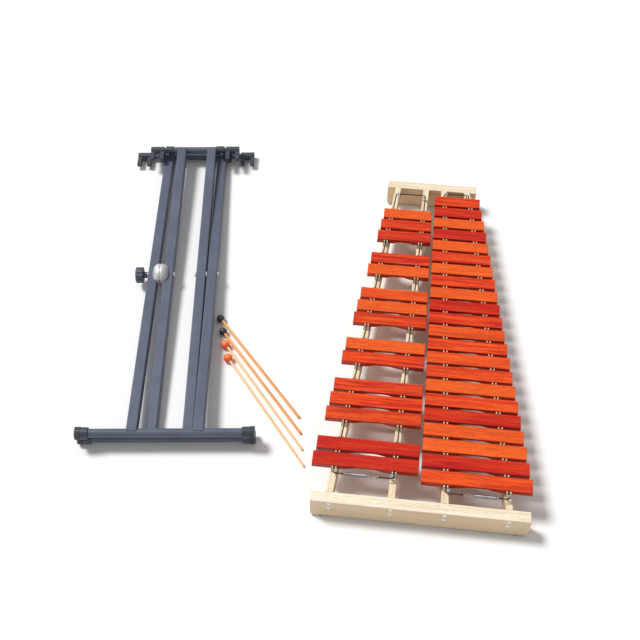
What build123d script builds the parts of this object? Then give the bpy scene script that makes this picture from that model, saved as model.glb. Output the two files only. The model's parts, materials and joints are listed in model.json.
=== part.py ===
"""Portable 37-bar xylophone: bar keyboard, folded cross-leg stand and four mallets.

Millimetres, +Z up. The set lies on the floor: +X runs from the bass bars to the treble bars,
-Y is the player's side, and the origin is under the middle of the whole set.
"""
import os
from math import asin, cos, degrees, radians, sin

from build123d import *

os.makedirs("parts", exist_ok=True)

# ---- keyboard: driving dimensions -------------------------------------------------------
BASS_C_X = -484.4  # lowest C bar, from the origin
ROW_LINE_Y = -69.6  # far ends of the bass accidentals, from the origin
PITCH = 40.0  # from one natural bar to the next
BAR_WIDTH = 33.0
BAR_TOP = 85.0
BAR_THICKNESS = 14.0
OCTAVE = 7 * PITCH
SPAN = 3 * OCTAVE  # from the lowest C bar to the highest

# Each line gives y at the lowest C bar and at the highest C bar.
ACCIDENTAL_FAR_END = (0.0, -110.4)
ACCIDENTAL_NEAR_END = (-234.8, -228.0)
NATURAL_FAR_END = (-240.8, -234.0)
NATURAL_NEAR_END = (-478.8, -353.0)
ACCIDENTAL_OUTER = (-52.4, -129.1)
ACCIDENTAL_INNER = (-182.4, -207.9)
NATURAL_INNER = (-293.7, -260.5)
NATURAL_OUTER = (-426.1, -326.7)

FOOT_HEIGHT = 5.0
FOOT_RADIUS = 11.0
BOARD_TOP = 65.0
BOARD_THICKNESS = 26.0
BOARD_EDGE = 1.6
BASS_BOARD_X = -77.0
BASS_BOARD_Y = (-478.0, -8.0)
TREBLE_BOARD_X = 898.0
TREBLE_BOARD_Y = (-345.0, -105.0)
RAIL_WIDTH = 16.0
RAIL_DEPTH = 34.0

CORD_RADIUS = 1.5
CORD_Z = 78.5
CORD_TURN_RADIUS = 4.5
BAR_HOLE_RADIUS = 3.2
ACCIDENTAL_CORD_X = (-12.0, 860.0)
NATURAL_CORD_X = (-34.0, 874.0)
SPRING_RADIUS = 4.3
SPRING_COIL = 49.0
SPRING_TAPER = 5.0
SPRING_START = 22.5  # from the outer cord line to the spring's end
SPRING_RING_RADIUS = 5.0
SPRING_STEM = 7.0
RING_THICKNESS = 1.6

POST_THICKNESS = 4.0
POST_TIP = 84.0
PRONG_WIDTH = 3.2
PRONG_SPACING = 7.4
PEG_RADIUS = 1.5
PEG_LENGTH = 11.0
PIN_RADIUS = 2.2
PIN_TOP = 82.0
PIN_HEAD_RADIUS = 4.0
PIN_HEAD = 1.6
SCREW_RADIUS = 2.0
SCREW_HEAD_RADIUS = 4.0
SCREW_HEAD = 2.5
SCREW_LENGTH = 50.0
SCREW_SPACING = 18.0

# ---- stand: driving dimensions ----------------------------------------------------------
PIVOT_X = 547.0  # from the lowest C bar
PIVOT_Y = 396.0  # from the row line
PIVOT_HEIGHT = 34.0
AXIS_RISE = 5.0  # of the pivot axis over the middle of the legs
STAND_TURN = 6.8  # degrees from +X towards +Y
TUBE = 25.0
TUBE_WALL = 1.5
TUBE_CORNER = 3.0
OUTER_LEGS = (75.5, -75.5)
INNER_LEGS = (36.5, -47.5)
INNER_FOOT = 478.0
OUTER_FOOT = 485.0
INNER_TOP = 463.0
OUTER_TOP = 472.0
FOOT_TUBE_RADIUS = 10.5
FOOT_TUBE_LENGTH = 400.0
FOOT_TUBE_WALL = 1.5
CAP_RADIUS = 15.0
CAP_RING_RADIUS = 14.0
CAP_LENGTH = 29.0
CAP_END = 3.0
CAP_RIBBED = 12.0
CAP_RIBS = 18
CAP_GAP = 0.8
TOP_TUBE_RADIUS = 10.0
ARM_RADIUS = 8.0
ARM_WALL = 1.5
FIT = 0.1  # radial clearance of running and sliding fits
INNER_TUBE_HALF = 82.5
OUTER_TUBE_HALF = 101.0
COLLAR_RADIUS = 12.0
INNER_COLLAR = 22.0
OUTER_COLLAR = 12.0
ARM_INNER_END = 3.0
INNER_ARM_END = 123.0
OUTER_ARM_END = 164.0
FORK_LENGTH = 37.6
FORK_RADIUS = 11.0
FORK_REACH = 40.0
FORK_END = 2.0
PRONG_BAR = 10.5
PRONG_THICKNESS = 12.0
PRONG_ROUND = 5.0
CLUTCH_RADIUS = 29.0
CLUTCH_HALF = 20.35
CLUTCH_EDGE = 14.0
CLUTCH_SPLIT = 56.0
CLUTCH_GAP = 0.3
CLUTCH_BOLT_RADIUS = 5.0
KNOB_RADIUS = 20.5
KNOB_FACE = 100.0
KNOB_LENGTH = 19.5
KNOB_FLUTES = 9
KNOB_EDGE = 3.0
HUB_RADIUS = 8.0
HUB_LENGTH = 9.0
PIVOT_BOLT_RADIUS = 4.0
BOLT_HEAD_RADIUS = 7.5
BOLT_HEAD = 4.0
BOLT_DOME = 3.2
WASHER_RADIUS = 9.0

# ---- mallets: driving dimensions --------------------------------------------------------
MALLET_LENGTH = 365.0
RED_HEAD_RADIUS = 11.0
BLACK_HEAD_RADIUS = 10.0
BIRCH_RADIUS = 2.9
RATTAN_RADIUS = 3.4
FIRST_MALLET = (435.0, 279.0)  # its head, from the lowest C bar and the row line
MALLET_STEP = (-40.0, -13.0)
MALLET_TURN = 221.0  # degrees from +X to the first handle
MALLET_FAN = -0.8


def line_y(line, x):
    """Y of a keyboard line at a distance x from the lowest C bar."""
    return line[0] + (line[1] - line[0]) * x / SPAN


def board_plane(x, y, z):
    """A horizontal plane at a place counted from the lowest C bar and the row line."""
    return Plane(origin=(BASS_C_X + x, ROW_LINE_Y + y, z))


def side_plane(x):
    """The plane across the keyboard at x: its own x is +Y and its own y is +Z."""
    return Plane(origin=(BASS_C_X + x, ROW_LINE_Y, 0), x_dir=(0, 1, 0), z_dir=(1, 0, 0))


def save(piece, name):
    piece.part.label = name
    export_step(piece.part, f"parts/{name}.step")


# ---- where the bars stand ---------------------------------------------------------------
# An octave's accidentals stand between C and D, D and E, F and G, G and A, A and B.
NATURALS = [PITCH * step for step in range(22)]
ACCIDENTALS = [PITCH * (7 * octave + step) for octave in range(3) for step in (0.5, 1.5, 3.5, 4.5, 5.5)]
NATURAL_POSTS = [x - PITCH / 2 for x in NATURALS] + [NATURALS[-1] + PITCH / 2]
ACCIDENTAL_POSTS = sorted({x + side for x in ACCIDENTALS for side in (-PITCH / 2, PITCH / 2)})
BAR_BOTTOM = BAR_TOP - BAR_THICKNESS
ARCH_RADIUS = 26.0


def bars(places, far_end, near_end, cord_lines):
    """Arched bars at the given places, drilled along both cord lines."""
    with BuildPart() as row:
        for x in places:
            far = line_y(far_end, x)
            near = line_y(near_end, x)
            length = far - near
            arch = BAR_THICKNESS * (0.62 - 0.26 * x / SPAN)
            with BuildSketch(side_plane(x - BAR_WIDTH / 2)):
                with BuildLine():
                    under = FilletPolyline(
                        (near, BAR_BOTTOM),
                        (near + 0.30 * length, BAR_BOTTOM),
                        (near + 0.41 * length, BAR_BOTTOM + arch),
                        (near + 0.59 * length, BAR_BOTTOM + arch),
                        (near + 0.70 * length, BAR_BOTTOM),
                        (far, BAR_BOTTOM),
                        radius=ARCH_RADIUS,
                    )
                    Polyline(under @ 1, (far, BAR_TOP), (near, BAR_TOP), under @ 0)
                make_face()
            extrude(amount=BAR_WIDTH)
        fillet(row.edges().group_by(Axis.Z)[-1], 1.4)
        for x in places:
            for line in cord_lines:
                slope = (line[1] - line[0]) / SPAN
                hole_z = CORD_Z + CORD_RADIUS + FIT - BAR_HOLE_RADIUS
                centre = (BASS_C_X + x, ROW_LINE_Y + line_y(line, x), hole_z)
                with BuildSketch(Plane(origin=centre, x_dir=(0, 0, 1), z_dir=(1, slope, 0))):
                    Circle(BAR_HOLE_RADIUS)
                extrude(amount=BAR_WIDTH / 2 + 2, both=True, mode=Mode.SUBTRACT)
    return row


NOTE_NAMES = ("c_sharp", "d_sharp", "f_sharp", "g_sharp", "a_sharp")
ACCIDENTAL_CORD_LINES = (ACCIDENTAL_OUTER, ACCIDENTAL_INNER)
NATURAL_CORD_LINES = (NATURAL_OUTER, NATURAL_INNER)
for number, x in enumerate(ACCIDENTALS):
    bar = bars([x], ACCIDENTAL_FAR_END, ACCIDENTAL_NEAR_END, ACCIDENTAL_CORD_LINES)
    save(bar, f"bar_{NOTE_NAMES[number % 5]}_{number // 5 + 1}")
for octave in range(3):
    places = NATURALS[7 * octave : 7 * octave + 7] if octave < 2 else NATURALS[14:]
    natural_bars = bars(places, NATURAL_FAR_END, NATURAL_NEAR_END, NATURAL_CORD_LINES)
    save(natural_bars, f"natural_bars_octave_{octave + 1}")

# ---- cord posts: two-pronged posts between the bars, pegged into the rails ---------------
POST_PLACES = [(x, line) for line in ACCIDENTAL_CORD_LINES for x in ACCIDENTAL_POSTS]
POST_PLACES += [(x, line) for line in NATURAL_CORD_LINES for x in NATURAL_POSTS]
POST_SHOULDER = CORD_Z - CORD_RADIUS - 0.3
with BuildPart() as cord_posts:
    for x, line in POST_PLACES:
        y = line_y(line, x)
        with BuildSketch(side_plane(x - POST_THICKNESS / 2)):
            with Locations((y, (BOARD_TOP + POST_SHOULDER) / 2)):
                Rectangle(PRONG_SPACING + PRONG_WIDTH, POST_SHOULDER - BOARD_TOP)
            with Locations((y - PRONG_SPACING / 2, (POST_SHOULDER + POST_TIP) / 2 - 1)):
                SlotOverall(POST_TIP - POST_SHOULDER + 2, PRONG_WIDTH, rotation=90)
            with Locations((y + PRONG_SPACING / 2, (POST_SHOULDER + POST_TIP) / 2 - 1)):
                SlotOverall(POST_TIP - POST_SHOULDER + 2, PRONG_WIDTH, rotation=90)
        extrude(amount=POST_THICKNESS)
        with BuildSketch(board_plane(x, y, BOARD_TOP)):
            Circle(PEG_RADIUS)
        extrude(amount=-PEG_LENGTH)

# ---- guide pins: the cords turn the corner round them -----------------------------------
PIN_PLACES = []
for ends, outer, inner, out in (
    (ACCIDENTAL_CORD_X, ACCIDENTAL_OUTER, ACCIDENTAL_INNER, 1),
    (NATURAL_CORD_X, NATURAL_OUTER, NATURAL_INNER, -1),
):
    for x, along in ((ends[0], 1), (ends[1], -1)):
        pin_x = x + along * CORD_TURN_RADIUS
        PIN_PLACES.append((pin_x, line_y(outer, x) - out * CORD_TURN_RADIUS))
        PIN_PLACES.append((pin_x, line_y(inner, x) + out * CORD_TURN_RADIUS))
with BuildPart() as cord_guide_pins:
    for x, y in PIN_PLACES:
        with BuildSketch(board_plane(x, y, BOARD_TOP)):
            Circle(PEG_RADIUS)
        extrude(amount=-PEG_LENGTH)
        with BuildSketch(board_plane(x, y, BOARD_TOP)):
            Circle(PIN_RADIUS)
        extrude(amount=PIN_TOP - BOARD_TOP)
        with BuildSketch(board_plane(x, y, PIN_TOP)):
            Circle(PIN_HEAD_RADIUS)
        extrude(amount=PIN_HEAD)

# ---- countersunk screws through the end boards into the rail ends -----------------------
RAIL_LINES = (ACCIDENTAL_OUTER, ACCIDENTAL_INNER, NATURAL_INNER, NATURAL_OUTER)
RAIL_MIDDLE = BOARD_TOP - RAIL_DEPTH / 2
BOARD_FACES = ((BASS_BOARD_X, 1), (TREBLE_BOARD_X + BOARD_THICKNESS, -1))
with BuildPart() as frame_screws:
    for face_x, inward in BOARD_FACES:
        for line in RAIL_LINES:
            y = ROW_LINE_Y + line_y(line, face_x + inward * BOARD_THICKNESS)
            for z in (RAIL_MIDDLE - SCREW_SPACING / 2, RAIL_MIDDLE + SCREW_SPACING / 2):
                screw_face = Plane(origin=(BASS_C_X + face_x, y, z), x_dir=(0, 1, 0), z_dir=(inward, 0, 0))
                with BuildSketch(screw_face):
                    Circle(SCREW_HEAD_RADIUS)
                with BuildSketch(screw_face.offset(SCREW_HEAD)):
                    Circle(SCREW_RADIUS)
                loft()
                with BuildSketch(screw_face):
                    Circle(SCREW_RADIUS)
                extrude(amount=SCREW_LENGTH)

# ---- end boards, rubber feet and rails --------------------------------------------------
RAIL_START = BASS_BOARD_X + BOARD_THICKNESS


def end_board(x, reach):
    with BuildPart() as board:
        middle = board_plane(x + BOARD_THICKNESS / 2, sum(reach) / 2, FOOT_HEIGHT)
        with BuildSketch(middle):
            Rectangle(BOARD_THICKNESS, reach[1] - reach[0])
        extrude(amount=BOARD_TOP - FOOT_HEIGHT)
        fillet(board.edges(), BOARD_EDGE)
        add(frame_screws.part, mode=Mode.SUBTRACT)
    return board


save(end_board(BASS_BOARD_X, BASS_BOARD_Y), "bass_end_board")
save(end_board(TREBLE_BOARD_X, TREBLE_BOARD_Y), "treble_end_board")

FEET_INSET = 24.0
with BuildPart() as rubber_feet:
    for x, reach in ((BASS_BOARD_X, BASS_BOARD_Y), (TREBLE_BOARD_X, TREBLE_BOARD_Y)):
        for y in (reach[0] + FEET_INSET, reach[1] - FEET_INSET):
            with BuildSketch(board_plane(x + BOARD_THICKNESS / 2, y, 0)):
                Circle(FOOT_RADIUS)
            extrude(amount=FOOT_HEIGHT)


def rail(line):
    half = RAIL_WIDTH / 2
    start_y = line_y(line, RAIL_START)
    end_y = line_y(line, TREBLE_BOARD_X)
    with BuildPart() as piece:
        with BuildSketch(board_plane(0, 0, BOARD_TOP - RAIL_DEPTH)):
            with BuildLine():
                Polyline(
                    (RAIL_START, start_y - half),
                    (TREBLE_BOARD_X, end_y - half),
                    (TREBLE_BOARD_X, end_y + half),
                    (RAIL_START, start_y + half),
                    close=True,
                )
            make_face()
        extrude(amount=RAIL_DEPTH)
        chamfer(piece.edges().filter_by(lambda edge: edge.length > SPAN), 1.2)
        add(frame_screws.part, mode=Mode.SUBTRACT)
        for x, y in [(x, line_y(post_line, x)) for x, post_line in POST_PLACES if post_line == line]:
            with BuildSketch(board_plane(x, y, BOARD_TOP)):
                Circle(PEG_RADIUS)
            extrude(amount=-PEG_LENGTH, mode=Mode.SUBTRACT)
        for x, y in PIN_PLACES:
            if abs(y - line_y(line, x)) < half:
                with BuildSketch(board_plane(x, y, BOARD_TOP)):
                    Circle(PEG_RADIUS)
                extrude(amount=-PEG_LENGTH, mode=Mode.SUBTRACT)
    return piece


save(rail(ACCIDENTAL_OUTER), "accidental_outer_rail")
save(rail(ACCIDENTAL_INNER), "accidental_inner_rail")
save(rail(NATURAL_INNER), "natural_inner_rail")
save(rail(NATURAL_OUTER), "natural_outer_rail")
save(cord_posts, "cord_posts")
save(cord_guide_pins, "cord_guide_pins")
save(frame_screws, "frame_screws")
save(rubber_feet, "rubber_feet")


# ---- bar cords and their tension springs ------------------------------------------------
def bar_cord(ends, outer, inner, out):
    """One cord that carries a row of bars; its two ends meet at the tension spring."""
    bass_x = ends[0]
    treble_x = ends[1]
    spring_end = line_y(outer, bass_x) - out * SPRING_START
    ring_end = spring_end - out * (2 * SPRING_TAPER + SPRING_COIL + SPRING_STEM + 2 * SPRING_RING_RADIUS)
    with BuildPart() as cord:
        with BuildLine(board_plane(0, 0, CORD_Z)) as route:
            FilletPolyline(
                (bass_x, spring_end),
                (bass_x, line_y(outer, bass_x)),
                (treble_x, line_y(outer, treble_x)),
                (treble_x, line_y(inner, treble_x)),
                (bass_x, line_y(inner, bass_x)),
                (bass_x, ring_end),
                radius=CORD_TURN_RADIUS,
            )
        with BuildSketch(Plane(origin=route.line @ 0, z_dir=route.line % 0)):
            Circle(CORD_RADIUS)
        sweep(path=route.line)
    return cord


def tension_spring(bass_x, outer, out):
    """The spring's outer shape: two tapered ends, the coil, and the ring the cord ties to."""
    start_y = ROW_LINE_Y + line_y(outer, bass_x) - out * SPRING_START
    start = Plane(origin=(BASS_C_X + bass_x, start_y, CORD_Z), x_dir=(1, 0, 0), z_dir=(0, -out, 0))
    coil_end = SPRING_TAPER + SPRING_COIL
    stem_end = coil_end + SPRING_TAPER + SPRING_STEM
    with BuildPart() as spring:
        with BuildSketch(Plane(origin=start.origin, x_dir=start.x_dir, z_dir=(0, 0, 1))):
            with BuildLine():
                along = -out
                Polyline(
                    (0, 0),
                    (CORD_RADIUS, 0),
                    (SPRING_RADIUS, along * SPRING_TAPER),
                    (SPRING_RADIUS, along * coil_end),
                    (CORD_RADIUS, along * (coil_end + SPRING_TAPER)),
                    (CORD_RADIUS, along * (stem_end + SPRING_TAPER)),
                    (0, along * (stem_end + SPRING_TAPER)),
                    close=True,
                )
            make_face()
        revolve(axis=Axis(start.origin, start.z_dir))
        ring_y = start_y - out * (stem_end + SPRING_RING_RADIUS)
        with BuildSketch(Plane(origin=(BASS_C_X + bass_x, ring_y, CORD_Z - RING_THICKNESS / 2))):
            Circle(SPRING_RING_RADIUS)
        extrude(amount=RING_THICKNESS)
    return spring


save(bar_cord(ACCIDENTAL_CORD_X, ACCIDENTAL_OUTER, ACCIDENTAL_INNER, 1), "accidental_cord")
save(bar_cord(NATURAL_CORD_X, NATURAL_OUTER, NATURAL_INNER, -1), "natural_cord")
save(tension_spring(ACCIDENTAL_CORD_X[0], ACCIDENTAL_OUTER, 1), "accidental_spring")
save(tension_spring(NATURAL_CORD_X[0], NATURAL_OUTER, -1), "natural_spring")

# ---- stand: two leg frames crossed on one pivot axis ------------------------------------
# The inner frame lies on its foot caps, and the outer frame's foot lies on top of the inner
# one's, so the frames cross at a small angle.
PIVOT = Vector(BASS_C_X + PIVOT_X, ROW_LINE_Y + PIVOT_Y, PIVOT_HEIGHT)
LEG_HEIGHT = PIVOT_HEIGHT - AXIS_RISE
INNER_TILT = degrees(asin((LEG_HEIGHT - CAP_RADIUS) / INNER_FOOT))
OUTER_TILT = degrees(asin((LEG_HEIGHT - 3 * CAP_RADIUS - CAP_GAP) / OUTER_FOOT))


def frame_plane(tilt):
    """A leg frame's own plane: x towards the top tube, y across to the clutch side."""
    turn = radians(STAND_TURN)
    rise = radians(tilt)
    along = (cos(rise) * cos(turn), cos(rise) * sin(turn), sin(rise))
    normal = (-sin(rise) * cos(turn), -sin(rise) * sin(turn), cos(rise))
    return Plane(origin=PIVOT, x_dir=along, z_dir=normal)


INNER = frame_plane(INNER_TILT)
OUTER = frame_plane(OUTER_TILT)


def across(frame, x, y):
    """A plane square to the pivot axis, centred in the legs at x along and y across."""
    middle = frame.from_local_coords((x, y, -AXIS_RISE))
    return Plane(origin=middle, x_dir=frame.x_dir, z_dir=frame.y_dir)


def about_axis(y):
    """A plane square to the pivot axis and centred on it, at y across the stand."""
    return Plane(origin=INNER.from_local_coords((0, y, 0)), x_dir=INNER.x_dir, z_dir=INNER.y_dir)


def along_leg(frame, x):
    """A plane square to the legs, at x along the frame: its own x is across the frame."""
    middle = frame.from_local_coords((x, 0, -AXIS_RISE))
    return Plane(origin=middle, x_dir=frame.y_dir, z_dir=frame.x_dir)


def legs(frame, places, foot, top, holes):
    """Two square tubes, coped to the foot and top tubes and drilled for the pivot bolts."""
    with BuildPart() as pair:
        with BuildSketch(along_leg(frame, -foot)):
            with Locations(*[(y, 0) for y in places]):
                RectangleRounded(TUBE, TUBE, TUBE_CORNER)
                inside = TUBE - 2 * TUBE_WALL
                RectangleRounded(inside, inside, TUBE_CORNER - TUBE_WALL, mode=Mode.SUBTRACT)
        extrude(amount=foot + top)
        for x, radius in ((-foot, FOOT_TUBE_RADIUS), (top, TOP_TUBE_RADIUS)):
            with BuildSketch(across(frame, x, 0)):
                Circle(radius)
            extrude(amount=FOOT_TUBE_LENGTH / 2, both=True, mode=Mode.SUBTRACT)
        for y, radius in zip(places, holes):
            with BuildSketch(about_axis(y)):
                Circle(radius)
            extrude(amount=TUBE, both=True, mode=Mode.SUBTRACT)
    return pair


inner_holes = (CLUTCH_BOLT_RADIUS, PIVOT_BOLT_RADIUS)
outer_holes = (CLUTCH_BOLT_RADIUS + FIT, PIVOT_BOLT_RADIUS + FIT)
save(legs(INNER, INNER_LEGS, INNER_FOOT, INNER_TOP, inner_holes), "inner_legs")
save(legs(OUTER, OUTER_LEGS, OUTER_FOOT, OUTER_TOP, outer_holes), "outer_legs")


def round_tube(frame, x, half, radius, bore):
    with BuildPart() as tube:
        with BuildSketch(across(frame, x, 0)):
            Circle(radius)
            Circle(bore, mode=Mode.SUBTRACT)
        extrude(amount=half, both=True)
    return tube


foot_bore = FOOT_TUBE_RADIUS - FOOT_TUBE_WALL
save(round_tube(INNER, -INNER_FOOT, FOOT_TUBE_LENGTH / 2, FOOT_TUBE_RADIUS, foot_bore), "inner_foot_tube")
save(round_tube(OUTER, -OUTER_FOOT, FOOT_TUBE_LENGTH / 2, FOOT_TUBE_RADIUS, foot_bore), "outer_foot_tube")
save(round_tube(INNER, INNER_TOP, INNER_TUBE_HALF, TOP_TUBE_RADIUS, ARM_RADIUS + FIT), "inner_top_tube")
save(round_tube(OUTER, OUTER_TOP, OUTER_TUBE_HALF, TOP_TUBE_RADIUS, ARM_RADIUS + FIT), "outer_top_tube")


def foot_caps(frame, foot):
    """Two end caps with a smooth ring and a ribbed end, closed outside."""
    tube_end = FOOT_TUBE_LENGTH / 2
    with BuildPart() as caps:
        for side in (1, -1):
            with BuildSketch(across(frame, -foot, side * (tube_end + CAP_END - CAP_LENGTH))):
                Circle(CAP_RING_RADIUS)
            extrude(amount=side * (CAP_LENGTH - CAP_RIBBED))
            with BuildSketch(across(frame, -foot, side * (tube_end + CAP_END - CAP_RIBBED))):
                Circle(CAP_RADIUS)
                with PolarLocations(CAP_RADIUS + 0.4, CAP_RIBS, start_angle=180 / CAP_RIBS):
                    Circle(1.3, mode=Mode.SUBTRACT)
            extrude(amount=side * CAP_RIBBED)
            with BuildSketch(across(frame, -foot, 0)):
                Circle(FOOT_TUBE_RADIUS)
            extrude(amount=side * tube_end, mode=Mode.SUBTRACT)
    return caps


save(foot_caps(INNER, INNER_FOOT), "inner_foot_caps")
save(foot_caps(OUTER, OUTER_FOOT), "outer_foot_caps")


def tube_collars(frame, top, half, length):
    """Two sleeves at the ends of a top tube, where the arms slide out."""
    with BuildPart() as collars:
        for side in (1, -1):
            with BuildSketch(across(frame, top, side * (half - length))):
                Circle(COLLAR_RADIUS)
                Circle(TOP_TUBE_RADIUS, mode=Mode.SUBTRACT)
            extrude(amount=side * length)
    return collars


save(tube_collars(INNER, INNER_TOP, INNER_TUBE_HALF, INNER_COLLAR), "inner_tube_collars")
save(tube_collars(OUTER, OUTER_TOP, OUTER_TUBE_HALF, OUTER_COLLAR), "outer_tube_collars")


def clutch_half(frame, leg_y, side, hole):
    """Half of the clutch: a dome that saddles its leg. The two halves meet at the split."""
    with BuildPart() as half:
        with BuildSketch(about_axis(CLUTCH_SPLIT + side * CLUTCH_GAP / 2)):
            Circle(CLUTCH_RADIUS)
        extrude(amount=side * CLUTCH_HALF)
        far_face = half.faces().sort_by(Axis(frame.origin, frame.y_dir))[-1 if side > 0 else 0]
        fillet(far_face.edges(), CLUTCH_EDGE)
        with BuildSketch(along_leg(frame, 0)):
            with Locations((leg_y, 0)):
                Rectangle(TUBE, TUBE)
        extrude(amount=CLUTCH_RADIUS, both=True, mode=Mode.SUBTRACT)
        with BuildSketch(about_axis(CLUTCH_SPLIT)):
            Circle(hole)
        extrude(amount=TUBE, both=True, mode=Mode.SUBTRACT)
    return half


save(clutch_half(INNER, INNER_LEGS[0], -1, CLUTCH_BOLT_RADIUS), "inner_clutch_half")
save(clutch_half(OUTER, OUTER_LEGS[0], 1, CLUTCH_BOLT_RADIUS + FIT), "outer_clutch_half")

bolt_start = INNER_LEGS[0] - TUBE / 2
with BuildPart() as clutch_bolt:
    with BuildSketch(about_axis(bolt_start)):
        RegularPolygon(BOLT_HEAD_RADIUS, 6)
    extrude(amount=-BOLT_HEAD)
    with BuildSketch(about_axis(bolt_start)):
        Circle(CLUTCH_BOLT_RADIUS)
    extrude(amount=KNOB_FACE + KNOB_LENGTH / 2 - bolt_start)
save(clutch_bolt, "clutch_bolt")

with BuildPart() as clutch_knob:
    with BuildSketch(about_axis(KNOB_FACE)):
        Circle(KNOB_RADIUS)
        with PolarLocations(KNOB_RADIUS + 3.2, KNOB_FLUTES):
            Circle(5.5, mode=Mode.SUBTRACT)
    extrude(amount=KNOB_LENGTH)
    fillet(clutch_knob.faces().filter_by(Plane(INNER.origin, z_dir=INNER.y_dir)).edges(), KNOB_EDGE)
    with BuildSketch(about_axis(KNOB_FACE - HUB_LENGTH)):
        Circle(HUB_RADIUS)
    extrude(amount=HUB_LENGTH)
    with BuildSketch(about_axis(KNOB_FACE - HUB_LENGTH)):
        Circle(CLUTCH_BOLT_RADIUS + FIT)
    extrude(amount=HUB_LENGTH + KNOB_LENGTH / 2 + 0.5, mode=Mode.SUBTRACT)
save(clutch_knob, "clutch_knob")

head_face = INNER_LEGS[1] + TUBE / 2
inner_face = INNER_LEGS[1] - TUBE / 2
outer_face = OUTER_LEGS[1] - TUBE / 2
with BuildPart() as pivot_bolt:
    with BuildSketch(about_axis(head_face)):
        Circle(BOLT_HEAD_RADIUS)
    extrude(amount=BOLT_HEAD)
    fillet(pivot_bolt.faces().sort_by(Axis(INNER.origin, INNER.y_dir))[-1].edges(), BOLT_DOME)
    with BuildSketch(about_axis(head_face)):
        Circle(PIVOT_BOLT_RADIUS)
    extrude(amount=outer_face - head_face - BOLT_HEAD - CLUTCH_GAP)
    with BuildSketch(about_axis(inner_face)):
        Circle(WASHER_RADIUS)
    extrude(amount=OUTER_LEGS[1] + TUBE / 2 + CLUTCH_GAP - inner_face)
    with BuildSketch(about_axis(outer_face - CLUTCH_GAP)):
        RegularPolygon(BOLT_HEAD_RADIUS, 6)
    extrude(amount=-BOLT_HEAD)
save(pivot_bolt, "pivot_bolt")


# ---- telescoping arms and the forks that take the keyboard's rails ----------------------
def arm(frame, top, side, end):
    with BuildPart() as piece:
        with BuildSketch(across(frame, top, side * ARM_INNER_END)):
            Circle(ARM_RADIUS)
            Circle(ARM_RADIUS - ARM_WALL, mode=Mode.SUBTRACT)
        extrude(amount=side * (end - ARM_INNER_END))
    return piece


def fork(frame, top, side, arm_end):
    """A capped sleeve on the arm's end, with two prongs and a rail-wide slot between them."""
    tip = arm_end + FORK_END
    start = tip - FORK_LENGTH
    with BuildPart() as piece:
        with BuildSketch(across(frame, top, side * start)):
            Circle(FORK_RADIUS)
        extrude(amount=side * FORK_LENGTH)
        for near in (start, tip - PRONG_BAR):
            with BuildSketch(across(frame, top, side * near)):
                with Locations((-FORK_REACH / 2, 0)):
                    Rectangle(FORK_REACH, PRONG_THICKNESS)
            extrude(amount=side * PRONG_BAR)
        tips = piece.faces().sort_by(Axis(frame.origin, frame.x_dir))[:2]
        fillet(tips.edges().filter_by(Axis(frame.origin, frame.y_dir)), PRONG_ROUND)
        with BuildSketch(across(frame, top, side * start)):
            Circle(ARM_RADIUS + FIT)
        extrude(amount=side * (FORK_LENGTH - FORK_END + 0.3), mode=Mode.SUBTRACT)
    return piece


for name, frame, top, arm_end in (
    ("inner", INNER, INNER_TOP, INNER_ARM_END),
    ("outer", OUTER, OUTER_TOP, OUTER_ARM_END),
):
    for side_name, side in (("left", 1), ("right", -1)):
        save(arm(frame, top, side, arm_end), f"{name}_{side_name}_arm")
        save(fork(frame, top, side, arm_end), f"{name}_{side_name}_fork")


# ---- mallets ----------------------------------------------------------------------------
def mallet(number, head_radius, handle_radius):
    """A ball on a straight handle, lying on the floor on its ball and the handle's end."""
    turn = radians(MALLET_TURN + MALLET_FAN * number)
    fall = asin((head_radius - handle_radius) / MALLET_LENGTH)
    along = (cos(turn) * cos(fall), sin(turn) * cos(fall), -sin(fall))
    head_x = BASS_C_X + FIRST_MALLET[0] + number * MALLET_STEP[0]
    head_y = ROW_LINE_Y + FIRST_MALLET[1] + number * MALLET_STEP[1]
    head = Plane(origin=(head_x, head_y, head_radius), z_dir=along)
    inset = head_radius * 0.6
    with BuildPart() as ball:
        with Locations(head):
            Sphere(head_radius)
        with BuildSketch(head.offset(-inset)):
            Circle(handle_radius)
        extrude(amount=2 * head_radius, mode=Mode.SUBTRACT)
    with BuildPart() as handle:
        with BuildSketch(head.offset(-inset)):
            Circle(handle_radius)
        extrude(amount=MALLET_LENGTH + inset - head_radius)
        fillet(handle.edges().filter_by(GeomType.CIRCLE).sort_by(Axis(head.origin, head.z_dir))[-1], 1.5)
    return ball, handle


MALLETS = (
    ("black_mallet_1", BLACK_HEAD_RADIUS, RATTAN_RADIUS),
    ("black_mallet_2", BLACK_HEAD_RADIUS, RATTAN_RADIUS),
    ("red_mallet_1", RED_HEAD_RADIUS, BIRCH_RADIUS),
    ("red_mallet_2", RED_HEAD_RADIUS, BIRCH_RADIUS),
)
for number, (name, head_radius, handle_radius) in enumerate(MALLETS):
    ball, handle = mallet(number, head_radius, handle_radius)
    whole = Compound(label=name, children=[ball.part, handle.part])
    export_step(whole, f"parts/{name}.step")
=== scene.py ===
"""Looks of the portable xylophone: keyboard, folded cross-leg stand and four mallets."""
import json
from math import cos, exp, pi, radians, sin, sqrt

import bpy
from mathutils import Matrix, Vector


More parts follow.
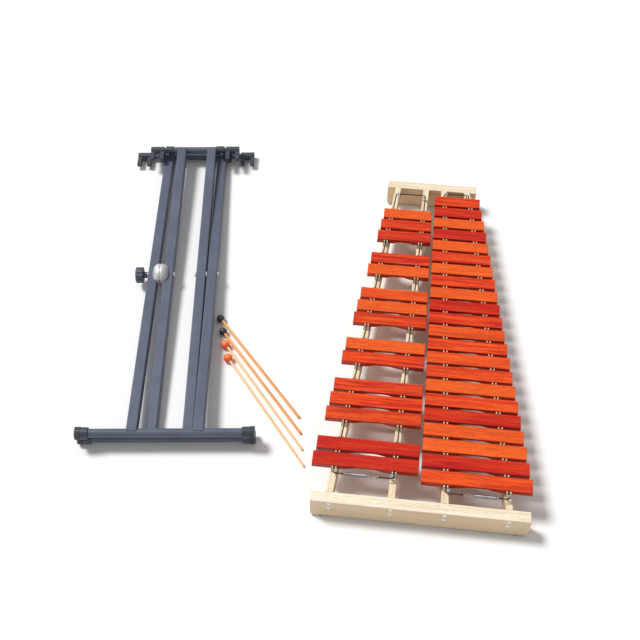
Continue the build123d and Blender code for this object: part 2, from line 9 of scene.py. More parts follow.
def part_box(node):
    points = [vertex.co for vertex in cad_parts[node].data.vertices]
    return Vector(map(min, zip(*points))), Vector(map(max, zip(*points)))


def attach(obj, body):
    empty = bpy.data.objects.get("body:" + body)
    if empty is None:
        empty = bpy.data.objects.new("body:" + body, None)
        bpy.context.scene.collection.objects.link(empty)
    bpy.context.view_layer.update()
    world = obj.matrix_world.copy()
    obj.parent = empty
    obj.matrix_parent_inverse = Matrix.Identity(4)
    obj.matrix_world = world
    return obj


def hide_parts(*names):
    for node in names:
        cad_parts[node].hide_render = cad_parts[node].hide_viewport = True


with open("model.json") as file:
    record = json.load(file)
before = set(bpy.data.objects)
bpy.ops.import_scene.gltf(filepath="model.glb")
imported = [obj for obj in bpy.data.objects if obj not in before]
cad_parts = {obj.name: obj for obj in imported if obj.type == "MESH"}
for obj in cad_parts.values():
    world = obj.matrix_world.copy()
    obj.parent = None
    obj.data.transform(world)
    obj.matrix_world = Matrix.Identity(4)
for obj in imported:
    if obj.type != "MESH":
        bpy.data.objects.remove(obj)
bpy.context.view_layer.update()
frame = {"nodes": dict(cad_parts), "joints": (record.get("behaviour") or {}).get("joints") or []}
NODES = frame["nodes"]
JOINTS = {joint["name"]: joint for joint in frame["joints"]}

# ---- driving values, in metres unless named otherwise --------------------------------------
BAR_PITCH = 0.040
BAR_GAP = 0.007

SPRING_WIRE = 0.0006
SPRING_RADIUS = 0.0037
SPRING_TAPER = 0.005
SPRING_TURNS = 40
SPRING_TAPER_TURNS = 3
SPRING_STEM = 0.012
SPRING_LEAD = 0.0015  # from the straight end to the first turn
RING_WIRE = 0.0008
RING_RADIUS = 0.0042
KNOT_SIZE = 0.0012
KNOT_CORD = 0.0008

CLUTCH_RADIUS = 0.029
CLUTCH_DEPTH = 0.0203
CLUTCH_ROUND = 2.35  # 2 is an ellipsoid, and a higher number is squarer
CLUTCH_SPLIT = 0.056
CLUTCH_GAP = 0.00015
CLUTCH_RIDGES = 40
CLUTCH_RIDGE = 0.11  # depth of a ridge, as a share of the radius
CLUTCH_RIDGE_START = 0.0080
CLUTCH_RIDGE_RISE = 0.005
CLUTCH_RIM_HEIGHT = 0.0022

TUBE_HALF = 0.0125
LEG_PLACES = {"inner": (0.0365, -0.0475), "outer": (0.0755, -0.0755)}
TOP_TUBE_HALF = {"inner": 0.0825, "outer": 0.101}
WELD_RADIUS = 0.0013
WELD_INSET = 0.0012
WELD_RIPPLE = 0.00022
WELD_RISE = 0.0110
WELD_OUT = 0.0004
SCREW_INSET = 0.006
SCREW_OUT = 0.0118
SCREW_NECK = 0.0031
WASHER_PLACE = 0.0893
WASHER_RADIUS = 0.0066
WASHER_WIRE = 0.0012

MALLET_LENGTH = 0.365
RATTAN_RADIUS = 0.0034
BIRCH_RADIUS = 0.0029
STICK_WAIST = 0.94  # the stick's radius between knots, as a share of its full radius
STICK_KNOT = 0.06
STICK_KNOT_LENGTH = 0.0022
STICK_SEAT = 0.003
STICK_TIP = 0.0025
STICK_TIP_ROUND = 0.0022
HOLE_FIT = 0.0001
MOUTH_BEVEL = 0.0006
MOUTH_SLOPE = 0.0004

FLOOR_HALF = 60.0
FLOOR_WHITE = 0.93
WORLD_STRENGTH = 0.42
SUN_ENERGY = 2.75
SUN_ANGLE = 16  # degrees
SUN_FROM = (0.22, 0.52, 0.82)
CAMERA_PLACE = (-1.593, -0.218, 1.984)
CAMERA_DOWN = 51.37  # degrees below the horizon
CAMERA_TURN = 6.53  # degrees from +X towards +Y
CAMERA_LENS = 56.66  # mm, on a sensor 36 mm wide
CAMERA_SENSOR = 36.0


# ---- materials ----------------------------------------------------------------------------
class Shader:
    """A node material whose pattern is tied to the piece's own coordinates."""

    def __init__(self, name, **settings):
        self.material = bpy.data.materials.new(name)
        self.material.use_nodes = True
        self.tree = self.material.node_tree
        self.bsdf = self.tree.nodes["Principled BSDF"]
        self.place = self.add("ShaderNodeTexCoord").outputs["Object"]
        for socket, value in settings.items():
            self.bsdf.inputs[socket.replace("_", " ")].default_value = value

    def add(self, kind, **settings):
        node = self.tree.nodes.new(kind)
        for key, value in settings.items():
            setattr(node, key, value)
        return node

    def link(self, source, target):
        self.tree.links.new(source, target)

    def stretched(self, scale, turn=(0, 0, 0)):
        """The piece's coordinates, with so many pattern cells a metre each way."""
        mapping = self.add("ShaderNodeMapping")
        mapping.inputs["Scale"].default_value = scale
        mapping.inputs["Rotation"].default_value = turn
        self.link(self.place, mapping.inputs["Vector"])
        return mapping.outputs["Vector"]

    def noise(self, scale, detail=3.0, rough=0.55, shift=None):
        """Noise from 0 to 1, moved by a vector if one is given."""
        texture = self.add("ShaderNodeTexNoise")
        texture.inputs["Scale"].default_value = 1.0
        texture.inputs["Detail"].default_value = detail
        texture.inputs["Roughness"].default_value = rough
        vector = self.stretched(scale)
        if shift is not None:
            joined = self.add("ShaderNodeVectorMath", operation="ADD")
            self.link(vector, joined.inputs[0])
            self.link(shift, joined.inputs[1])
            vector = joined.outputs["Vector"]
        self.link(vector, texture.inputs["Vector"])
        return texture.outputs["Fac"]

    def ramp(self, value, *stops):
        """Colours, or greys, at places along a 0 to 1 value."""
        node = self.add("ShaderNodeValToRGB")
        elements = node.color_ramp.elements
        while len(elements) < len(stops):
            elements.new(0.5)
        for element, (place, colour) in zip(elements, stops):
            element.position = place
            grey = not isinstance(colour, tuple)
            element.color = (colour, colour, colour, 1) if grey else (*colour, 1)
        self.link(value, node.inputs["Fac"])
        return node.outputs["Color"]

    def mix(self, amount, first, second):
        """The first colour, with this amount of the second over it."""
        node = self.add("ShaderNodeMix", data_type="RGBA")
        for socket, value in (("Factor", amount), ("A", first), ("B", second)):
            target = [s for s in node.inputs if s.name == socket and s.enabled][0]
            if isinstance(value, bpy.types.NodeSocket):
                self.link(value, target)
            elif isinstance(value, tuple):
                target.default_value = (*value, 1)
            else:
                target.default_value = value
        return [s for s in node.outputs if s.enabled][0]

    def math(self, operation, first, second):
        node = self.add("ShaderNodeMath", operation=operation)
        for socket, value in zip(node.inputs, (first, second)):
            if isinstance(value, bpy.types.NodeSocket):
                self.link(value, socket)
            else:
                socket.default_value = value
        return node.outputs["Value"]

    def painted_side_shade(self, amount):
        """A mask for painted shade: the given amount on upright faces, none on level ones."""
        facing = self.add("ShaderNodeSeparateXYZ")
        self.link(self.add("ShaderNodeTexCoord").outputs["Normal"], facing.inputs["Vector"])
        upward = self.math("ABSOLUTE", facing.outputs["Z"], 0.0)
        return self.ramp(upward, (0.25, amount), (0.7, 0.0))

    def colour(self, value):
        self.link(value, self.bsdf.inputs["Base Color"])

    def roughness(self, value, low, high):
        """Roughness that runs from low to high along a 0 to 1 value."""
        grey = self.ramp(value, (0.0, low), (1.0, high))
        self.link(grey, self.bsdf.inputs["Roughness"])

    def bump(self, height, distance, strength):
        """Relief of this height in metres, over any relief already there."""
        node = self.add("ShaderNodeBump")
        node.inputs["Distance"].default_value = distance
        node.inputs["Strength"].default_value = strength
        previous = self.bsdf.inputs["Normal"].links
        if previous:
            self.link(previous[0].from_socket, node.inputs["Normal"])
        self.link(height, node.inputs["Height"])
        self.link(node.outputs["Normal"], self.bsdf.inputs["Normal"])


def bar_wood():
    """Lacquered red-orange hardwood: streaks and pores along each bar, and its own tone, with painted shade
    darkening its upright faces.
    """
    s = Shader("padouk", Roughness=0.34, Coat_Weight=0.16, Coat_Roughness=0.14, Specular_IOR_Level=0.28)
    split = s.add("ShaderNodeSeparateXYZ")
    s.link(s.place, split.inputs["Vector"])
    row = s.math("MULTIPLY", s.math("GREATER_THAN", split.outputs["Y"], BAR_ROW_LINE), 0.5)
    step = s.math("DIVIDE", s.math("SUBTRACT", split.outputs["X"], FIRST_BAR_X), BAR_PITCH)
    number = s.math("FLOOR", s.math("ADD", step, row), 0.0)
    tone = s.add("ShaderNodeTexWhiteNoise", noise_dimensions="1D")
    s.link(s.math("ADD", s.math("MULTIPLY", row, 37.0), number), tone.inputs["W"])
    shift = s.add("ShaderNodeVectorMath", operation="SCALE")
    s.link(tone.outputs["Color"], shift.inputs[0])
    shift.inputs["Scale"].default_value = 40.0
    own = shift.outputs["Vector"]
    streaks = s.noise((150, 6, 150), 4.0, 0.62, shift=own)
    figure = s.noise((70, 4, 70), 2.0, 0.5, shift=own)
    fibres = s.noise((1400, 30, 1400), 2.0, 0.6, shift=own)
    pores = s.noise((1900, 90, 1900), 1.0, 0.5, shift=own)
    deep = (0.40, (0.36, 0.003, 0.002))
    red = (0.49, (0.76, 0.024, 0.004))
    orange = (0.56, (1.0, 0.120, 0.010))
    base = s.ramp(streaks, deep, red, orange)
    wide = s.ramp(figure, (0.40, (0.54, 0.008, 0.003)), (0.58, (1.0, 0.095, 0.008)))
    body = s.mix(0.4, base, wide)
    warm = s.ramp(tone.outputs["Value"], (0.45, 0.0), (0.85, 0.72))
    cool = s.ramp(tone.outputs["Value"], (0.12, 0.60), (0.42, 0.0))
    tinted = s.mix(cool, s.mix(warm, body, (1.0, 0.170, 0.016)), (0.52, 0.006, 0.003))
    fine = s.mix(s.ramp(fibres, (0.40, 0.45), (0.58, 0.0)), tinted, (0.40, 0.006, 0.003))
    pored = s.mix(s.ramp(pores, (0.30, 0.75), (0.41, 0.0)), fine, (0.16, 0.004, 0.003))
    # Painted shade: upright faces are mixed towards a very dark red, level tops keep the wood colour.
    s.colour(s.mix(s.painted_side_shade(0.65), pored, (0.34, 0.001, 0.001)))
    s.roughness(fibres, 0.28, 0.40)
    s.bump(pores, 0.00012, 0.5)
    s.bump(fibres, 0.00006, 0.5)
    return s.material


def frame_wood(name, along, dark, middle, light):
    """Pale beech: soft growth bands and short brown flecks along the piece, and painted shade that makes its
    upright sides tanner.
    """
    s = Shader(name, Roughness=0.5, Coat_Weight=0.12, Coat_Roughness=0.3)
    bands = s.noise(tuple(4 if i == along else 120 for i in range(3)), 3.0, 0.55)
    fibres = s.noise(tuple(24 if i == along else 1100 for i in range(3)), 2.0, 0.6)
    flecks = s.noise(tuple(130 if i == along else 1500 for i in range(3)), 1.0, 0.5)
    base = s.ramp(bands, (0.36, dark), (0.50, middle), (0.62, light))
    fine = s.mix(s.ramp(fibres, (0.38, 0.38), (0.60, 0.0)), base, (0.72, 0.52, 0.30))
    flecked = s.mix(s.ramp(flecks, (0.30, 0.65), (0.38, 0.0)), fine, (0.45, 0.26, 0.12))
    # Painted shade: upright faces are mixed towards a tan brown, level faces keep the wood colour.
    s.colour(s.mix(s.painted_side_shade(0.55), flecked, (0.62, 0.40, 0.19)))
    s.roughness(fibres, 0.42, 0.58)
    s.bump(fibres, 0.00008, 0.5)
    return s.material


def braided_cord():
    """Dark brown braided cord: the braid crosses both ways along the cord, and painted shade darkens the
    grooves between its strands.
    """
    s = Shader("braided_cord", Roughness=0.8, Sheen_Weight=0.3, Sheen_Roughness=0.4)
    heights = []
    for side in (1, -1):
        wave = s.add("ShaderNodeTexWave", bands_direction="X")
        wave.inputs["Scale"].default_value = 1.0
        wave.inputs["Distortion"].default_value = 0.4
        crossing = s.stretched((210, 210, 260 * side), (0, radians(38 * side), radians(20)))
        s.link(crossing, wave.inputs["Vector"])
        heights.append(wave.outputs["Fac"])
    braid = s.math("MAXIMUM", *heights)
    fluff = s.noise((2600, 2600, 2600), 2.0)
    # Painted shade: the colour follows the braid's relief and is darkest in the grooves.
    base = s.ramp(braid, (0.25, (0.010, 0.007, 0.006)), (0.9, (0.060, 0.040, 0.032)))
    s.colour(s.mix(s.ramp(fluff, (0.45, 0.0), (0.8, 0.35)), base, (0.12, 0.085, 0.07)))
    s.bump(braid, 0.0004, 0.8)
    s.bump(fluff, 0.0001, 0.5)
    return s.material


def moulded(name, dark, light, rough, grain=900, depth=0.00006, **settings):
    """Moulded plastic or rubber: a fine skin grain and slightly uneven colour."""
    s = Shader(name, Roughness=rough, **settings)
    cloud = s.noise((35, 35, 35), 3.0)
    skin = s.noise((grain, grain, grain), 2.0, 0.6)
    s.colour(s.ramp(cloud, (0.35, dark), (0.65, light)))
    s.roughness(skin, rough - 0.07, rough + 0.08)
    s.bump(skin, depth, 0.5)
    return s.material


def metal(name, dark, light, rough, grain, depth, coarse=None, metallic=1.0):
    """Bare or plated metal: a drawn or cast surface with duller patches."""
    s = Shader(name, Metallic=metallic, Roughness=rough)
    cloud = s.noise((90, 90, 90), 3.0)
    skin = s.noise((grain, grain, grain), 2.0, 0.6)
    s.colour(s.ramp(cloud, (0.3, dark), (0.7, light)))
    s.roughness(cloud, rough - 0.06, rough + 0.12)
    s.bump(skin, depth, 0.4)
    if coarse:
        s.bump(s.noise((coarse, coarse, coarse), 2.0), depth * 4, 0.35)
    return s.material


def stand_paint():
    """Blue-grey powder coat with a fine orange-peel skin and light rub marks."""
    s = Shader("stand_paint", Roughness=0.42, Specular_IOR_Level=0.4)
    cloud = s.noise((14, 14, 14), 4.0)
    peel = s.noise((520, 520, 520), 2.0, 0.5)
    speckle = s.noise((1900, 1900, 1900), 1.0, 0.5)
    rubbed = s.noise((30, 900, 900), 3.0, 0.6)
    base = s.ramp(cloud, (0.35, (0.086, 0.102, 0.146)), (0.65, (0.110, 0.128, 0.180)))
    fine = s.mix(s.ramp(speckle, (0.60, 0.0), (0.78, 0.4)), base, (0.17, 0.19, 0.25))
    s.colour(s.mix(s.ramp(rubbed, (0.68, 0.0), (0.80, 0.3)), fine, (0.20, 0.22, 0.28)))
    s.roughness(peel, 0.36, 0.50)
    s.bump(peel, 0.00015, 0.4)
    s.bump(speckle, 0.00005, 0.4)
    return s.material


def ball_rubber(name, top, side, low, rough):
    """A mallet ball with painted light and shade: its colour runs from a lighter top to deeper sides and is
    darkest below.
    """
    s = Shader(name, Roughness=rough, Coat_Weight=0.25, Coat_Roughness=0.2)
    split = s.add("ShaderNodeSeparateXYZ")
    s.link(s.place, split.inputs["Vector"])
    # Painted light and shade: the colour follows height on the ball, lighter on top and darker on the sides
    # and below; the noise adds real mottling.
    height = s.math("MULTIPLY_ADD", split.outputs["X"], 45.0)
    height.node.inputs[2].default_value = 0.5
    painted_light_and_mottle = s.math("ADD", height, s.math("MULTIPLY", s.noise((420, 420, 420), 3.0), 0.25))
    painted_light_ramp = s.ramp(painted_light_and_mottle, (0.28, low), (0.62, side), (0.98, top))
    fine = s.noise((1500, 1500, 1500), 2.0)
    s.colour(s.mix(s.ramp(fine, (0.45, 0.0), (0.75, 0.18)), painted_light_ramp, low))
    s.roughness(fine, rough - 0.08, rough + 0.08)
    s.bump(fine, 0.00006, 0.5)
    return s.material


def stick_wood(name, dark, middle, light, ridges):
    """A turned or peeled handle: grain runs along its own z axis."""
    s = Shader(name, Roughness=0.45, Coat_Weight=0.2, Coat_Roughness=0.25)
    bands = s.noise((500, 500, 6), 3.0)
    fibres = s.noise((ridges, ridges, 30), 2.0, 0.6)
    base = s.ramp(bands, (0.30, dark), (0.50, middle), (0.70, light))
    s.colour(s.mix(s.ramp(fibres, (0.35, 0.5), (0.60, 0.0)), base, dark))
    s.roughness(fibres, 0.38, 0.55)
    s.bump(fibres, 0.00012, 0.6)
    return s.material


ACCIDENTAL_ENDS = [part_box(name)[0].y for name in NODES if name.startswith("bar_")]
NATURAL_ENDS = [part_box(name)[1].y for name in NODES if name.startswith("natural_bars")]
BAR_ROW_LINE = (min(ACCIDENTAL_ENDS) + max(NATURAL_ENDS)) / 2
FIRST_BAR_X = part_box("natural_bars_octave_1")[0].x - BAR_GAP / 2

PADOUK = bar_wood()
BEECH_ACROSS = frame_wood(
    "beech_across", 1, dark=(0.82, 0.67, 0.47), middle=(0.92, 0.81, 0.63), light=(0.97, 0.89, 0.75)
)
BEECH_ALONG = frame_wood(
    "beech_along", 0, dark=(0.78, 0.60, 0.38), middle=(0.89, 0.74, 0.52), light=(0.95, 0.83, 0.64)
)
CORD = braided_cord()
CREAM = moulded("cream_nylon", (0.66, 0.55, 0.36), (0.78, 0.68, 0.48), 0.42, Subsurface_Weight=0.08)
STEEL = metal("plated_steel", (0.62, 0.62, 0.63), (0.86, 0.86, 0.86), 0.26, 900, 0.00002)
SPRING_STEEL = metal("spring_steel", (0.34, 0.34, 0.35), (0.54, 0.54, 0.55), 0.28, 900, 0.00002)
RUBBER = moulded("foot_rubber", (0.018, 0.018, 0.019), (0.032, 0.032, 0.033), 0.78, 700, 0.00012)
PAINT = stand_paint()
GREY = moulded("grey_nylon", (0.034, 0.040, 0.056), (0.050, 0.058, 0.078), 0.46, 800, 0.00008)
BLACK = moulded("knob_plastic", (0.056, 0.067, 0.092), (0.078, 0.093, 0.126), 0.50, 700, 0.0001)
CAST = metal(
    "cast_alloy", (0.72, 0.72, 0.72), (0.84, 0.84, 0.84), 0.38, 700, 0.00006, coarse=160, metallic=0.55
)
# The top, side and low colours of each ball are painted light and shade, not worn or dyed areas.
RED_BALL = ball_rubber(
    "red_ball", top=(1.0, 0.22, 0.035), side=(0.96, 0.085, 0.010), low=(0.78, 0.022, 0.004), rough=0.42
)
BLACK_BALL = ball_rubber(
    "black_ball", top=(0.045, 0.047, 0.052), side=(0.020, 0.021, 0.024), low=(0.010, 0.010, 0.012), rough=0.35
)
RATTAN = stick_wood("rattan", (0.56, 0.20, 0.035), (0.90, 0.38, 0.075), (0.97, 0.48, 0.12), 1500)
BIRCH = stick_wood("birch", (0.78, 0.42, 0.16), (0.94, 0.59, 0.28), (0.98, 0.68, 0.38), 1100)


def paint(names, material):
    for name in names:
        slots = NODES[name].data.materials
        slots.clear()
        slots.append(material)


paint([name for name in NODES if name.startswith(("bar_", "natural_bars"))], PADOUK)
paint(["bass_end_board", "treble_end_board"], BEECH_ACROSS)
paint([name for name in NODES if name.endswith("_rail")], BEECH_ALONG)
paint(["accidental_cord", "natural_cord"], CORD)
paint(["cord_posts"], CREAM)
paint(["cord_guide_pins", "frame_screws", "clutch_bolt", "pivot_bolt"], STEEL)
paint(["rubber_feet"], RUBBER)
paint([f"{f}_{part}" for f in ("inner", "outer") for part in ("legs", "top_tube", "foot_tube")], PAINT)
paint([name for name in NODES if name.endswith("_arm")], PAINT)
paint([name for name in NODES if name.endswith(("_fork", "_caps", "_collars"))], GREY)
paint(["clutch_knob"], BLACK)


# ---- mesh helpers -------------------------------------------------------------------------
def mesh_object(name, points, faces, material, smooth=True):
    mesh = bpy.data.meshes.new(name)
    mesh.from_pydata([tuple(p) for p in points], [], faces)
    mesh.validate()
    mesh.update()
    if smooth:
        mesh.polygons.foreach_set("use_smooth", [True] * len(mesh.polygons))
    piece = bpy.data.objects.new(name, mesh)
    bpy.context.scene.collection.objects.link(piece)
    mesh.materials.append(material)
    return piece


def tube(name, path, radius, material, sides=10, closed=False):
    """A round bar swept along a path, with end caps unless the path is closed."""
    path = [Vector(p) for p in path]
    count = len(path)
    normal = None
    points = []
    for i, here in enumerate(path):
        before = path[i - 1] if i or closed else here
        after = path[(i + 1) % count] if i < count - 1 or closed else here
        along = (after - before).normalized()
        if normal is None:
            normal = along.orthogonal().normalized()
        normal = (normal - along * normal.dot(along)).normalized()
        side = along.cross(normal)
        for k in range(sides):
            angle = 2 * pi * k / sides
            points.append(here + radius * (cos(angle) * normal + sin(angle) * side))
    faces = []
    for i in range(count if closed else count - 1):
        a = i * sides
        b = (i + 1) % count * sides
        faces += [(a + k, a + (k + 1) % sides, b + (k + 1) % sides, b + k) for k in range(sides)]
    if not closed:
        faces.append(tuple(reversed(range(sides))))
        faces.append(tuple(range((count - 1) * sides, count * sides)))
    return mesh_object(name, points, faces, material)


def lathe(name, profile, material, steps=48, wobble=None):
    """A solid of revolution about z. The profile runs from axis to axis as (radius, z)."""
    rings = profile[1:-1]
    points = [Vector((0, 0, profile[0][1]))]
    for radius, z in rings:
        for k in range(steps):
            angle = 2 * pi * k / steps
            reach = radius * (wobble(angle, z) if wobble else 1)
            points.append(Vector((reach * cos(angle), reach * sin(angle), z)))
    points.append(Vector((0, 0, profile[-1][1])))
    last = len(points) - 1
    faces = [(0, 1 + (k + 1) % steps, 1 + k) for k in range(steps)]
    for i in range(len(rings) - 1):
        a = 1 + i * steps
        b = a + steps
        faces += [(a + k, a + (k + 1) % steps, b + (k + 1) % steps, b + k) for k in range(steps)]
    a = 1 + (len(rings) - 1) * steps
    faces += [(a + k, a + (k + 1) % steps, last) for k in range(steps)]
    return mesh_object(name, points, faces, material)


def axes(origin, z_axis, x_hint):
    """The matrix of a local frame: z along z_axis and x as near x_hint as it can be."""
    z_axis = Vector(z_axis).normalized()
    x_axis = (Vector(x_hint) - z_axis * z_axis.dot(Vector(x_hint))).normalized()
    matrix = Matrix((x_axis, z_axis.cross(x_axis), z_axis)).transposed().to_4x4()
    matrix.translation = Vector(origin)
    return matrix


def fasten(piece, body, slot, *nodes):
    """Puts a piece on its body and takes the place of CAD nodes. The slot argument is not used."""
    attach(piece, body)
    if nodes:
        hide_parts(*nodes)


# ---- tension springs ----------------------------------------------------------------------
def tension_spring(name, node, towards):
    """A close-wound extension spring with tapered ends, its stem, and the cord's ring."""
    low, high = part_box(node)
    x = (low.x + high.x) / 2
    z = (low.z + high.z) / 2
    start_y = high.y if towards < 0 else low.y
    length = high.y - low.y
    coil = length - 2 * SPRING_TAPER - SPRING_STEM - 2 * (RING_RADIUS + RING_WIRE)
    coil_end = 2 * SPRING_TAPER + coil
    path = [(x, start_y, z)]
    turns = SPRING_TURNS + 2 * SPRING_TAPER_TURNS
    steps = 18
    for i in range(turns * steps + 1):
        turn = i / steps
        if turn < SPRING_TAPER_TURNS:
            share = turn / SPRING_TAPER_TURNS
            at = SPRING_TAPER * share
        elif turn > turns - SPRING_TAPER_TURNS:
            share = (turns - turn) / SPRING_TAPER_TURNS
            at = coil_end - SPRING_TAPER * share
        else:
            share = 1.0
            at = SPRING_TAPER + coil * (turn - SPRING_TAPER_TURNS) / SPRING_TURNS
        radius = SPRING_WIRE + (SPRING_RADIUS - SPRING_WIRE) * share**0.6
        at += SPRING_LEAD * (1 - at / coil_end)
        angle = 2 * pi * turn
        path.append((x + radius * cos(angle), start_y + towards * at, z + radius * sin(angle)))
    stem_end = coil_end + SPRING_STEM
    path.append((x, start_y + towards * (coil_end + 0.002), z))
    path.append((x, start_y + towards * (stem_end + RING_WIRE), z))
    fasten(tube(name, path, SPRING_WIRE, SPRING_STEEL, 8), "keyboard", "steel", node)
    ring_y = start_y + towards * (stem_end + RING_RADIUS + RING_WIRE)
    ring = []
    for k in range(40):
        angle = 2 * pi * k / 40
        ring.append((x + RING_RADIUS * cos(angle), ring_y + RING_RADIUS * sin(angle), z))
    ring_piece = tube(name + "_ring", ring, RING_WIRE, SPRING_STEEL, 10, closed=True)
    fasten(ring_piece, "keyboard", "steel")
    return Vector((x, start_y, z)), Vector((x, ring_y + towards * RING_RADIUS, z))


def cord_knot(name, place, along):
    """A small overhand knot where the cord is tied."""
    path = []
    for k in range(72):
        t = 2 * pi * k / 72
        reach = KNOT_SIZE * (1.0 + 0.42 * cos(3 * t))
        sway = along * KNOT_SIZE * 1.08 * sin(3 * t)
        path.append(place + Vector((reach * cos(2 * t), sway, reach * sin(2 * t))))
    fasten(tube(name, path, KNOT_CORD, CORD, 8, closed=True), "keyboard", "cord")


for row, towards in (("accidental", -1), ("natural", 1)):
    start, ring_end = tension_spring(f"{row}_tension_spring", f"{row}_spring", towards)
    cord_knot(f"{row}_spring_knot", start - Vector((0, towards * 0.002, 0)), towards)
    cord_knot(f"{row}_ring_knot", ring_end + Vector((0, towards * 0.0025, 0)), towards)


# ---- clutch: two ridged domes that saddle the legs ----------------------------------------
PIVOT = Vector(JOINTS["stand_fold"]["pos_m"])
ACROSS = Vector(JOINTS["stand_fold"]["axis"]).normalized()


def clutch_dome(name, body, node, side):
    """Half of the clutch: a cast dome with a bevelled rim, and ridges towards its end."""
    rim = CLUTCH_RADIUS - 0.0001
    profile = [(0.0, 0.0), (rim - 0.0018, 0.0), (rim - 0.0005, 0.0006), (rim, 0.0018)]
    power = 2 / CLUTCH_ROUND
    steps = 26
    for i in range(steps):
        angle = pi / 2 * i / steps
        z = CLUTCH_RIM_HEIGHT + (CLUTCH_DEPTH - CLUTCH_RIM_HEIGHT) * sin(angle) ** power
        profile.append((rim * cos(angle) ** power, z))
    profile.append((0.0, CLUTCH_DEPTH))

    def ridged(angle, z):
        rise = min(1, max(0, z - CLUTCH_RIDGE_START) / CLUTCH_RIDGE_RISE)
        depth = CLUTCH_RIDGE * rise * (1 - (z / CLUTCH_DEPTH) ** 10)
        return 1 - depth * (0.5 + 0.5 * cos(CLUTCH_RIDGES * angle)) ** 2

    dome = lathe(name, profile, CAST, CLUTCH_RIDGES * 8, ridged)
    place = PIVOT + ACROSS * (CLUTCH_SPLIT + side * CLUTCH_GAP)
    dome.matrix_world = axes(place, side * ACROSS, (0, 0, 1))
    fasten(dome, body, "clutch_metal", node)


clutch_dome("clutch_dome_inner", "stand_inner_frame", "inner_clutch_half", -1)
clutch_dome("clutch_dome_outer", "stand_outer_frame", "outer_clutch_half", 1)


# ---- stand details: weld beads, lock screws and the washer under the knob -----------------
def centre(node):
    low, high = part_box(node)
    return (low + high) / 2


def weld_bead(name, body, middle):
    """A rippled bead along the joint between a leg's end and its cross tube."""
    steps = 60
    path = []
    for i in range(steps + 1):
        share = i / steps * 2 - 1
        ripple = WELD_RIPPLE * sin(i * 1.3)
        path.append(middle + ACROSS * (TUBE_HALF - WELD_INSET) * share + Vector((ripple, 0, ripple / 2)))
    fasten(tube(name, path, WELD_RADIUS, PAINT, 10), body, "stand_paint")


def squared(angle, z):
    """Turns a round profile into a rounded square one above the screw's neck."""
    return 1.0 if z < SCREW_NECK else (cos(angle) ** 6 + sin(angle) ** 6) ** (-1 / 6)


def lock_screw(name, body, start, outward):
    """A short neck with a square moulded head."""
    profile = [(0.0, 0.0), (0.0024, 0.0), (0.0024, 0.0030), (0.0044, 0.0032), (0.0050, 0.0039)]
    profile += [(0.0050, 0.0092), (0.0044, 0.0101), (0.0028, 0.0104), (0.0024, 0.0098), (0.0, 0.0098)]
    screw = lathe(name, profile, GREY, 64, squared)
    screw.matrix_world = axes(start, outward, ACROSS)
    fasten(screw, body, "grey_plastic")


for leg_frame in ("inner", "outer"):
    stand_body = f"stand_{leg_frame}_frame"
    foot = centre(f"{leg_frame}_foot_tube")
    top = centre(f"{leg_frame}_top_tube")
    along = (top - foot).normalized()
    up = along.cross(ACROSS)
    for leg, place in enumerate(LEG_PLACES[leg_frame], 1):
        for end, middle, outward in (("top", top, along), ("foot", foot, -along)):
            for face, rise in (("upper", 1), ("lower", -1)):
                spot = middle + ACROSS * place + up * rise * WELD_RISE + outward * WELD_OUT
                weld_bead(f"{leg_frame}_{end}_weld_{leg}_{face}", stand_body, spot)
    for side_name, side in (("left", 1), ("right", -1)):
        spot = top + ACROSS * side * (TOP_TUBE_HALF[leg_frame] - SCREW_INSET) - along * SCREW_OUT
        lock_screw(f"{leg_frame}_{side_name}_lock_screw", stand_body, spot, -along)

washer_path = []
for k in range(48):
    angle = 2 * pi * k / 48
    washer_path.append(Vector((WASHER_RADIUS * cos(angle), WASHER_RADIUS * sin(angle), 0)))
washer = tube("knob_washer", washer_path, WASHER_WIRE, STEEL, 12, closed=True)
washer.matrix_world = axes(PIVOT + ACROSS * WASHER_PLACE, ACROSS, (0, 0, 1))
fasten(washer, "stand_outer_frame", "steel")


# ---- mallets ------------------------------------------------------------------------------
def mallet(name, ball_material, stick_material, ball_slot, stick_slot, stick_radius, knots):
    """A ball on its handle, lying where the CAD solid lies; knots are places on the handle."""
    low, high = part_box(name)
    ball_radius = (high.z - low.z) / 2
    head = Vector((high.x - ball_radius, high.y - ball_radius, high.z - ball_radius))
    flat = Vector((low.x - head.x, low.y - head.y, 0)).normalized()
    along = flat * MALLET_LENGTH + Vector((0, 0, stick_radius - ball_radius))
    place = axes(head, along, (0, 0, 1))

    hole = stick_radius + HOLE_FIT
    mouth = sqrt(ball_radius**2 - (hole + MOUTH_BEVEL) ** 2)
    profile = [(0.0, -ball_radius)]
    for i in range(1, 30):
        angle = pi * i / 32
        if -ball_radius * cos(angle) < mouth:
            profile.append((ball_radius * sin(angle), -ball_radius * cos(angle)))
    profile += [(hole + MOUTH_BEVEL, mouth), (hole, mouth - MOUTH_SLOPE), (0.0, mouth - MOUTH_BEVEL)]
    ball = lathe(name + "_ball", profile, ball_material, 56)
    ball.matrix_world = place
    fasten(ball, name, ball_slot, name)

    length = MALLET_LENGTH - ball_radius
    start = mouth - STICK_SEAT
    stick = [(0.0, start), (stick_radius, start)]
    steps = 90
    for i in range(1, steps):
        z = start + (length - STICK_TIP - start) * i / steps
        swell = sum(STICK_KNOT * exp(-(((z - at) / STICK_KNOT_LENGTH) ** 2)) for at in knots)
        stick.append((stick_radius * (STICK_WAIST + swell), z))
    for i in range(1, 6):
        angle = radians(18 * i)
        z = length - STICK_TIP + STICK_TIP_ROUND * sin(angle)
        stick.append((stick_radius * STICK_WAIST * cos(angle * 0.98), z))
    stick.append((0.0, length))
    handle = lathe(name + "_handle", stick, stick_material, 24)
    handle.matrix_world = place
    fasten(handle, name, stick_slot)


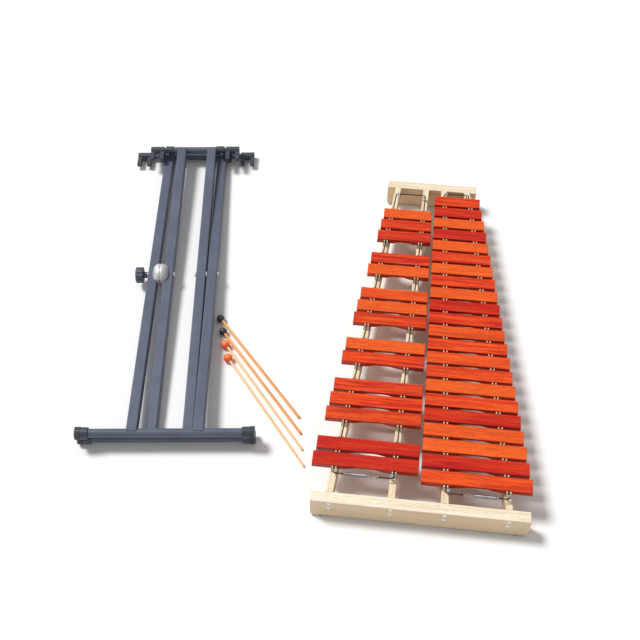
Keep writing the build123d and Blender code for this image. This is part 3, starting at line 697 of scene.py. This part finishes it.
for number, knots in ((1, (0.09, 0.21, 0.31)), (2, (0.06, 0.17, 0.28))):
    mallet(f"black_mallet_{number}", BLACK_BALL, RATTAN, "mallet_black", "rattan", RATTAN_RADIUS, knots)
for number in (1, 2):
    mallet(f"red_mallet_{number}", RED_BALL, BIRCH, "mallet_red", "birch", BIRCH_RADIUS, ())


# ---- floor, light and camera --------------------------------------------------------------
def studio():
    """A plain pale floor, an even white surround and one soft sun."""
    floor_material = bpy.data.materials.new("studio_floor")
    floor_material.use_nodes = True
    shader = floor_material.node_tree.nodes["Principled BSDF"]
    shader.inputs["Base Color"].default_value = (FLOOR_WHITE, FLOOR_WHITE, FLOOR_WHITE, 1)
    shader.inputs["Roughness"].default_value = 0.9
    corners = [(x * FLOOR_HALF, y * FLOOR_HALF, 0) for x, y in ((-1, -1), (1, -1), (1, 1), (-1, 1))]
    floor = mesh_object("floor", corners, [(0, 1, 2, 3)], floor_material, smooth=False)
    world = bpy.data.worlds.new("studio")
    world.use_nodes = True
    background = world.node_tree.nodes["Background"]
    background.inputs["Color"].default_value = (1.0, 1.0, 1.0, 1)
    background.inputs["Strength"].default_value = WORLD_STRENGTH
    bpy.context.scene.world = world
    lamp = bpy.data.lights.new("key_light", "SUN")
    lamp.energy = SUN_ENERGY
    lamp.angle = radians(SUN_ANGLE)
    holder = bpy.data.objects.new("key_light", lamp)
    holder.rotation_euler = Vector(SUN_FROM).to_track_quat("Z", "Y").to_euler()
    bpy.context.scene.collection.objects.link(holder)
    bpy.context.scene.view_settings.view_transform = "Standard"


def photo_camera():
    """From the bass end, looking down along the keyboard."""
    camera = bpy.data.cameras.new("camera")
    camera.lens = CAMERA_LENS
    camera.sensor_width = CAMERA_SENSOR
    holder = bpy.data.objects.new("camera", camera)
    holder.location = CAMERA_PLACE
    holder.rotation_euler = (radians(90 - CAMERA_DOWN), 0, radians(CAMERA_TURN - 90))
    bpy.context.scene.collection.objects.link(holder)
    bpy.context.scene.camera = holder


studio()
photo_camera()
